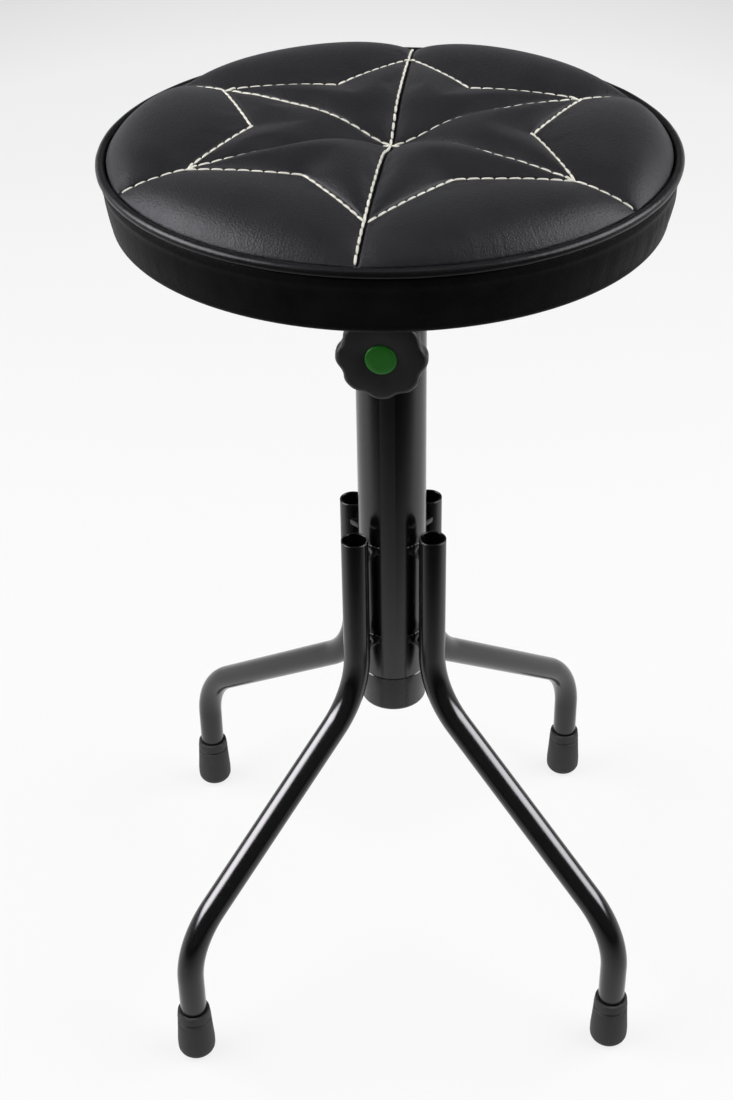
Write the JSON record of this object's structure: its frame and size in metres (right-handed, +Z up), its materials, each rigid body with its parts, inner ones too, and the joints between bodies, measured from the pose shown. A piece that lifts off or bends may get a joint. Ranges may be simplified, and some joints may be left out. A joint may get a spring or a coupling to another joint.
{
  "type": "swivel stool",
  "caption": "Height-adjustable swivel stool: a round padded seat quilted with a star turns on a post that a hand screw clamps in a column on splayed bent-tube legs.",
  "frame": {"origin": "on the floor, under the axis of the column", "axes": "+Z up the column's axis, -Y towards the front, where the clamp knob is, +X to the right seen from the front"},
  "size_m": [0.38, 0.38, 0.6896],
  "materials": {
    "black_paint": "semi-gloss black powder coat",
    "cap_plastic": "satin black",
    "black_plastic": "satin black",
    "knob_plastic": "fine-textured black",
    "green_plastic": "satin green",
    "black_rubber": "matte dark grey",
    "leatherette": "fine-grained black leatherette with a soft sheen",
    "black_cloth": "matte non-woven",
    "foam": "open-cell upholstery foam",
    "plywood": "unfinished plywood",
    "zinc_steel": "bright zinc",
    "post_steel": "polished plate",
    "brass": "machined",
    "pale_plastic": "natural acetal"
  },
  "bodies": {
    "base": {"column_tube": "black_paint", "column_bush": "black_plastic", "column_end_cap": "cap_plastic", "clamp_boss": "black_paint", "leg_front_left": "black_paint", "foot_front_left": "black_rubber", "spacer_upper_front_left": "black_paint", "spacer_lower_front_left": "black_paint", "leg_front_right": "black_paint", "foot_front_right": "black_rubber", "spacer_upper_front_right": "black_paint", "spacer_lower_front_right": "black_paint", "leg_rear_left": "black_paint", "foot_rear_left": "black_rubber", "spacer_upper_rear_left": "black_paint", "spacer_lower_rear_left": "black_paint", "leg_rear_right": "black_paint", "foot_rear_right": "black_rubber", "spacer_upper_rear_right": "black_paint", "spacer_lower_rear_right": "black_paint"},
    "clamp_pad": {"clamp_pad": "brass"},
    "knob": {"clamp_stud": "zinc_steel", "clamp_knob": "knob_plastic", "knob_cap": "green_plastic"},
    "post": {"post_tube": "post_steel", "post_glide": "pale_plastic", "swivel_housing": "zinc_steel", "thrust_washer": "pale_plastic", "swivel_bush_upper": "brass", "swivel_bush_lower": "brass"},
    "seat": {"swivel_axle": "zinc_steel", "axle_washer": "zinc_steel", "axle_lock_nut": "zinc_steel", "seat_plate": "black_paint", "seat_board": "plywood", "underside_cloth": "black_cloth", "plate_screw_1": "zinc_steel", "tee_nut_1": "zinc_steel", "plate_screw_2": "zinc_steel", "tee_nut_2": "zinc_steel", "plate_screw_3": "zinc_steel", "tee_nut_3": "zinc_steel", "plate_screw_4": "zinc_steel", "tee_nut_4": "zinc_steel", "side_band": "leatherette", "seat_piping": "leatherette", "seat_foam": "foam", "top_panel": "leatherette"}
  },
  "joints": [
    {"name": "post_slide", "type": "slide", "parent": "base", "child": "post", "axis": [0, 0, 1], "range_m": [-0.025, 0.19]},
    {"name": "seat_swivel", "type": "hinge", "parent": "post", "child": "seat", "pos_m": [0, 0, 0.6266], "axis": [0, 0, 1], "continuous": true},
    {"name": "pad_slide", "type": "slide", "parent": "base", "child": "clamp_pad", "axis": [-0.1599, -0.9871, 0], "range_m": [0, 0.003]},
    {"name": "knob_turn", "type": "hinge", "parent": "clamp_pad", "child": "knob", "pos_m": [-0.00871, -0.0538, 0.543], "axis": [-0.1599, -0.9871, 0], "range_deg": [0, 720]}
  ],
  "couplings": [
    {"joint": "pad_slide", "follows": "knob_turn", "m_per_rad": 0.00023873}
  ]
}
